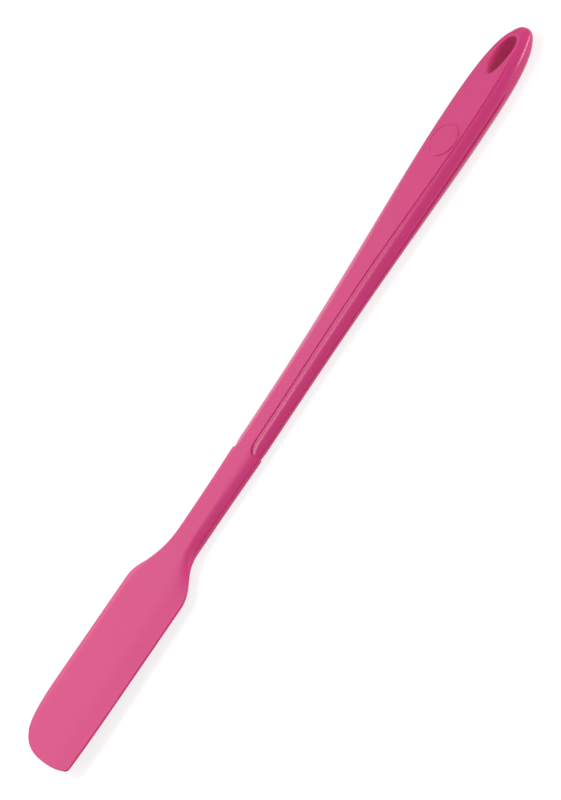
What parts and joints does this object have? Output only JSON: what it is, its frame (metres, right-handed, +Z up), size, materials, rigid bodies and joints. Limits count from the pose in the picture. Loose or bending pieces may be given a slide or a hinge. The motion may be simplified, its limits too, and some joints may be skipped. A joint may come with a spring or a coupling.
{
  "type": "silicone spatula",
  "caption": "slim jar spatula with a long rounded blade, matte strips let into a glossy handle and an egg-shaped hanging hole",
  "frame": {"origin": "on the resting surface, under the middle of the object's length and width", "axes": "X runs from the blade's tip to the butt, Y across the blade, Z up out of the face with the round disc"},
  "size_m": [0.285, 0.0318, 0.0075],
  "materials": {
    "silicone": "matte moulded silicone, strawberry pink",
    "handle": "glossy moulded plastic, the same pink",
    "core": "unpainted glass-filled nylon, hidden"
  },
  "bodies": {
    "root": {"silicone_head": "silicone", "handle_grip": "handle", "stiffening_core": "core"}
  },
  "joints": []
}
